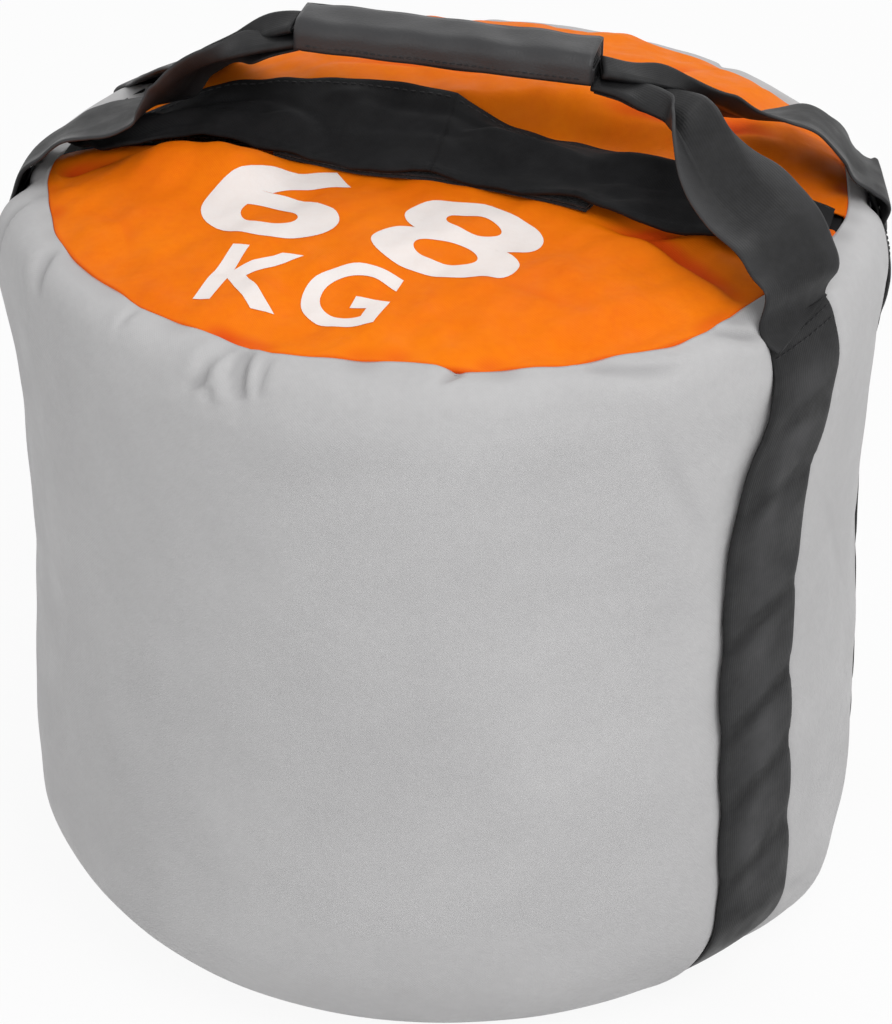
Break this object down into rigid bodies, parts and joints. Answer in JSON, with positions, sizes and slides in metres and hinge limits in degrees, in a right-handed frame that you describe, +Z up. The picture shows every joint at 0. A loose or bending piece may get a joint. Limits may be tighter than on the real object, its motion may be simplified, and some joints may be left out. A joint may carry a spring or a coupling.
{
  "type": "sandbag trainer",
  "caption": "Round strength training sandbag with a zipped, flapped top, an inner liner full of sand, and webbing loops that meet in a wrapped hand grip.",
  "frame": {"origin": "centre of the flat underside of the base", "axes": "+Z up, +X along the zip to the right, -Y to the front"},
  "size_m": [0.4152, 0.4112, 0.4497],
  "materials": {
    "grey_fabric": "light grey coated woven polyester, slight sheen",
    "orange_fabric": "bright orange coated woven polyester",
    "black_webbing": "black nylon webbing with a soft sheen",
    "black_fabric": "matte black heavy woven fabric",
    "grip_sheet": "smooth matte black padded wrap",
    "hook_and_loop": "black hook and loop tape",
    "zip_plastic": "black moulded zip parts",
    "liner_sheet": "tough grey-green liner sheet",
    "sand": "dry fine sand"
  },
  "bodies": {
    "root": {"side_wall": "grey_fabric", "base_panel": "grey_fabric", "base_seam_binding": "black_fabric", "top_seam_binding": "black_fabric", "top_front_panel": "orange_fabric", "top_rear_panel": "orange_fabric", "front_body_strap": "black_webbing", "rear_body_strap": "black_webbing", "zip_tape_front": "black_fabric", "zip_tape_rear": "black_fabric", "zip_chain_front": "zip_plastic", "zip_chain_rear": "zip_plastic", "zip_stop_left": "zip_plastic", "zip_stop_right": "zip_plastic", "flap_end_left": "black_fabric", "flap_end_right": "black_fabric", "front_loop_strip": "hook_and_loop", "liner_bag": "liner_sheet", "liner_neck": "liner_sheet", "liner_neck_strip": "hook_and_loop", "sand_fill": "sand"},
    "flap": {"closure_flap": "black_fabric", "flap_hook_strip": "hook_and_loop"},
    "slider": {"zip_slider": "zip_plastic"},
    "pull": {"zip_pull": "zip_plastic"},
    "grip": {"grip_wrap": "grip_sheet", "wrap_loop_strip": "hook_and_loop", "front_grip_webbing": "black_webbing", "rear_grip_webbing": "black_webbing"},
    "wrap_lid": {"wrap_flap": "grip_sheet", "wrap_hook_strip": "hook_and_loop"},
    "front_right": {"front_right_leg": "black_webbing"},
    "front_left": {"front_left_leg": "black_webbing"},
    "rear_right": {"rear_right_leg": "black_webbing"},
    "rear_left": {"rear_left_leg": "black_webbing"}
  },
  "joints": [
    {"name": "handle_lift", "type": "slide", "parent": "root", "child": "grip", "axis": [0, 0, 1], "range_m": [0, 0.018]},
    {"name": "flap_open", "type": "hinge", "parent": "root", "child": "flap", "pos_m": [0, 0.0245, 0.39803], "axis": [-1, 0, 0], "range_deg": [0, 34]},
    {"name": "zip_slide", "type": "hinge", "parent": "root", "child": "slider", "pos_m": [0, 0, -0.97015], "axis": [0, -1, 0], "range_deg": [0, 10.8]},
    {"name": "zip_pull_swing", "type": "hinge", "parent": "slider", "child": "pull", "pos_m": [0.12777, 0, 0.37705], "axis": [0, 1, 0], "range_deg": [0, 5]},
    {"name": "wrap_open", "type": "hinge", "parent": "grip", "child": "wrap_lid", "pos_m": [0.00024, 0.0179, 0.4469], "axis": [-0.9997, 0, 0.0244], "range_deg": [0, 110]},
    {"name": "front_right_bend", "type": "hinge", "parent": "root", "child": "front_right", "pos_m": [0.18817, -0.0873, 0.35051], "axis": [0.4209, 0.9071, 0], "range_deg": [0, 7.6]},
    {"name": "front_left_bend", "type": "hinge", "parent": "root", "child": "front_left", "pos_m": [-0.20577, -0.02618, 0.35051], "axis": [0.1262, -0.992, 0], "range_deg": [0, 7.6]},
    {"name": "rear_right_bend", "type": "hinge", "parent": "root", "child": "rear_right", "pos_m": [0.20032, 0.05383, 0.35051], "axis": [-0.2595, 0.9657, 0], "range_deg": [0, 7.6]},
    {"name": "rear_left_bend", "type": "hinge", "parent": "root", "child": "rear_left", "pos_m": [-0.17508, 0.11124, 0.35051], "axis": [-0.5363, -0.844, 0], "range_deg": [0, 7.6]}
  ],
  "couplings": [
    {"joint": "front_right_bend", "follows": "handle_lift", "rad_per_m": 6.8302},
    {"joint": "front_left_bend", "follows": "handle_lift", "rad_per_m": 7.2223},
    {"joint": "rear_right_bend", "follows": "handle_lift", "rad_per_m": 7.2609},
    {"joint": "rear_left_bend", "follows": "handle_lift", "rad_per_m": 6.9235}
  ]
}
